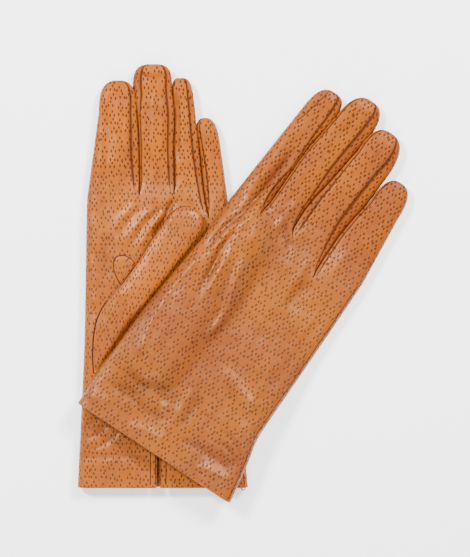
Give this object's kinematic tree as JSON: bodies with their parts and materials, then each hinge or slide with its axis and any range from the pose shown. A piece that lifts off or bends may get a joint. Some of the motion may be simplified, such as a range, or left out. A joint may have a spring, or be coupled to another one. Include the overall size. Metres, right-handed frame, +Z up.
{
  "type": "leather gloves",
  "caption": "Pair of unlined short leather dress gloves lying flat, one palm up with the other laid back up across it, with side-walled fingers, folded thumbs, turned hems and slit wrists.",
  "frame": {"origin": "on the table, below the middle of the pair's bounding box", "axes": "+Y from the left glove's cuff towards its fingertips, +X towards the right glove's fingertips, +Z up from the table"},
  "size_m": [0.1928, 0.2576, 0.0272],
  "materials": {
    "leather": "semi-gloss grained tan leather with groups of dark pores",
    "fourchette_leather": "the same tan leather, darker between the fingers",
    "hem_leather": "turned-in edge of the same leather, matt inside"
  },
  "bodies": {
    "left_hand": {"left_palm": "leather", "left_back": "leather", "left_back_hem": "hem_leather", "left_palm_hem_index_side": "hem_leather", "left_palm_hem_little_side": "hem_leather", "left_vent_facing_index_side": "hem_leather", "left_vent_facing_little_side": "hem_leather", "left_thumb_base": "leather", "left_thumb_quirk": "leather"},
    "left_index": {"left_index_stall": "leather", "left_index_outer_fourchette": "fourchette_leather"},
    "left_middle": {"left_middle_palm_strip": "leather", "left_middle_back_strip": "leather", "left_middle_outer_fourchette": "fourchette_leather", "left_middle_inner_fourchette": "fourchette_leather"},
    "left_ring": {"left_ring_palm_strip": "leather", "left_ring_back_strip": "leather", "left_ring_outer_fourchette": "fourchette_leather", "left_ring_inner_fourchette": "fourchette_leather"},
    "left_little": {"left_little_palm_strip": "leather", "left_little_back_strip": "leather", "left_little_inner_fourchette": "fourchette_leather"},
    "left_thumb": {"left_thumb_stall": "leather"},
    "right_hand": {"right_palm": "leather", "right_back": "leather", "right_back_hem": "hem_leather", "right_palm_hem_index_side": "hem_leather", "right_palm_hem_little_side": "hem_leather", "right_vent_facing_index_side": "hem_leather", "right_vent_facing_little_side": "hem_leather", "right_thumb_base": "leather", "right_thumb_quirk": "leather"},
    "right_index": {"right_index_stall": "leather", "right_index_outer_fourchette": "fourchette_leather"},
    "right_middle": {"right_middle_palm_strip": "leather", "right_middle_back_strip": "leather", "right_middle_outer_fourchette": "fourchette_leather", "right_middle_inner_fourchette": "fourchette_leather"},
    "right_ring": {"right_ring_palm_strip": "leather", "right_ring_back_strip": "leather", "right_ring_outer_fourchette": "fourchette_leather", "right_ring_inner_fourchette": "fourchette_leather"},
    "right_little": {"right_little_palm_strip": "leather", "right_little_back_strip": "leather", "right_little_inner_fourchette": "fourchette_leather"},
    "right_thumb": {"right_thumb_stall": "leather"}
  },
  "joints": [
    {"name": "left_index_bend", "type": "hinge", "parent": "left_hand", "child": "left_index", "pos_m": [-0.07561, 0.05052, 0.009], "axis": [1, 0, 0], "range_deg": [0, 80]},
    {"name": "left_middle_bend", "type": "hinge", "parent": "left_hand", "child": "left_middle", "pos_m": [-0.05006, 0.05052, 0.009], "axis": [1, 0, 0], "range_deg": [0, 80]},
    {"name": "left_ring_bend", "type": "hinge", "parent": "left_hand", "child": "left_ring", "pos_m": [-0.02986, 0.05052, 0.009], "axis": [1, 0, 0], "range_deg": [0, 80]},
    {"name": "left_little_bend", "type": "hinge", "parent": "left_hand", "child": "left_little", "pos_m": [-0.01336, 0.05052, 0.009], "axis": [1, 0, 0], "range_deg": [0, 80]},
    {"name": "left_thumb_lift", "type": "hinge", "parent": "left_hand", "child": "left_thumb", "pos_m": [-0.06516, -0.00808, 0.0178], "axis": [0.7934, -0.6088, 0], "range_deg": [0, 60]},
    {"name": "right_glove_lift", "type": "slide", "parent": "left_hand", "child": "right_hand", "axis": [0, 0, 1], "range_m": [0, 0.12]},
    {"name": "right_index_bend", "type": "hinge", "parent": "right_hand", "child": "right_index", "pos_m": [0.00306, 0.04497, 0.02204], "axis": [0.8348, -0.5505, 0], "range_deg": [0, 60]},
    {"name": "right_middle_bend", "type": "hinge", "parent": "right_hand", "child": "right_middle", "pos_m": [0.02168, 0.0327, 0.02069], "axis": [0.8348, -0.5505, 0], "range_deg": [0, 60]},
    {"name": "right_ring_bend", "type": "hinge", "parent": "right_hand", "child": "right_ring", "pos_m": [0.04092, 0.02001, 0.01187], "axis": [0.8348, -0.5505, 0], "range_deg": [0, 60]},
    {"name": "right_little_bend", "type": "hinge", "parent": "right_hand", "child": "right_little", "pos_m": [0.06142, 0.0065, 0.009], "axis": [0.8348, -0.5505, 0], "range_deg": [0, 60]},
    {"name": "right_thumb_drop", "type": "hinge", "parent": "right_hand", "child": "right_thumb", "pos_m": [-0.03333, -0.01967, 0.0094], "axis": [-0.8251, 0.565, 0], "range_deg": [0, 35]}
  ],
  "couplings": [
    {"joint": "right_thumb_drop", "follows": "right_glove_lift", "rad_per_m": 5}
  ]
}
